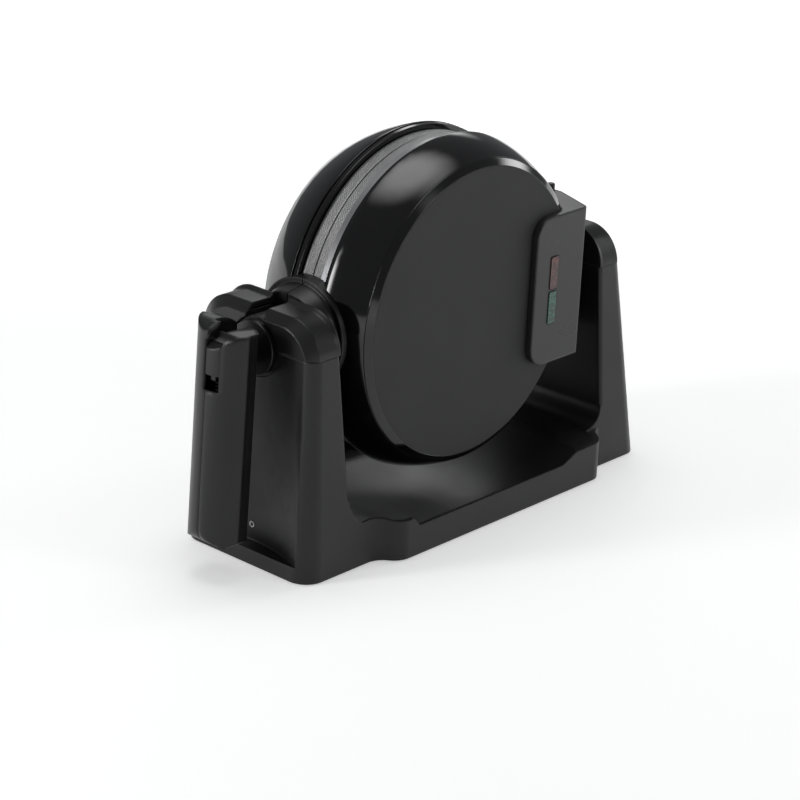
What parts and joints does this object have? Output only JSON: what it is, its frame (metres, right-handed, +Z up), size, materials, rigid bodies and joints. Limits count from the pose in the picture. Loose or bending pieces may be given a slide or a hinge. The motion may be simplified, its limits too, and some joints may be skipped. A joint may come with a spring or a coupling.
{
  "type": "rotating waffle maker",
  "caption": "Countertop waffle maker: a round clamshell head that turns between two towers on a dished base, with a folding, latched handle and a side-hinged lid.",
  "frame": {"origin": "centre of the overall box at the table, in line with the axis on which the head turns", "axes": "+X along the turning axis from the handle's tower to the other, +Z up, -Y the side with the lights"},
  "size_m": [0.3746, 0.135, 0.2527],
  "materials": {
    "base_black": "satin, finely textured",
    "gloss_black": "high gloss",
    "satin_grey": "even satin",
    "handle_black": "satin",
    "hub_black": "semi-gloss",
    "ring_steel": "brushed round the head",
    "plate_coating": "dark non-stick coating on cast metal",
    "bare_sheet": "plain sheet",
    "heater_sheath": "heat-dulled",
    "fixing_steel": "plain steel",
    "bearing_dark": "smooth",
    "foot_rubber": "matte",
    "lens_red": "tinted",
    "lens_green": "tinted",
    "lamp_glass": "clear",
    "board_green": "board",
    "fuse_case": "ceramic"
  },
  "bodies": {
    "base": {"base_shell": "base_black", "near_cap_front": "base_black", "near_cap_back": "base_black", "far_tower_cap": "base_black", "bottom_plate": "base_black", "rubber_feet": "foot_rubber", "bottom_screws": "fixing_steel", "near_bearing": "bearing_dark", "far_bearing": "bearing_dark", "cord_gland": "foot_rubber", "terminal_block": "bearing_dark"},
    "back_half": {"back_shell": "gloss_black", "back_cover": "gloss_black", "back_ring": "ring_steel", "back_plate": "plate_coating", "back_heater": "heater_sheath", "back_reflector": "bare_sheet", "back_plate_screws": "fixing_steel", "thermostat": "bearing_dark", "thermal_fuse": "fuse_case", "back_neck": "handle_black", "hub": "hub_black", "back_hinge_housing": "gloss_black", "hinge_arms": "hub_black", "hinge_pin": "fixing_steel", "far_trunnion": "hub_black"},
    "lid": {"front_shell": "gloss_black", "front_bezel": "gloss_black", "front_cover": "satin_grey", "front_ring": "ring_steel", "front_plate": "plate_coating", "front_heater": "heater_sheath", "front_reflector": "bare_sheet", "front_plate_screws": "fixing_steel", "front_neck": "handle_black", "indicator_housing": "gloss_black", "red_lens": "lens_red", "green_lens": "lens_green", "indicator_lamps": "lamp_glass", "lamp_board": "board_green", "hinge_stud": "handle_black"},
    "handle": {"handle_front_half": "handle_black", "handle_back_half": "handle_black", "handle_screws": "fixing_steel", "handle_pin": "fixing_steel", "latch_spring": "fixing_steel"},
    "latch": {"latch_tongue": "handle_black"}
  },
  "joints": [
    {"name": "head_turn", "type": "hinge", "parent": "base", "child": "back_half", "pos_m": [0.00744, 0, 0.1423], "axis": [1, 0, 0], "range_deg": [-90, 0]},
    {"name": "lid_open", "type": "hinge", "parent": "back_half", "child": "lid", "pos_m": [0.11644, -0.037, 0.1423], "axis": [0, 0, 1], "range_deg": [0, 85]},
    {"name": "handle_fold", "type": "hinge", "parent": "back_half", "child": "handle", "pos_m": [-0.16906, 0, 0.1423], "axis": [0, 1, 0], "range_deg": [0, 87.7]},
    {"name": "latch_slide", "type": "slide", "parent": "handle", "child": "latch", "axis": [-0.0401, 0, -0.9992], "range_m": [0, 0.006], "stiffness_N_per_m": 250, "springref_m": -0.004, "deforming": ["latch_spring"]}
  ]
}
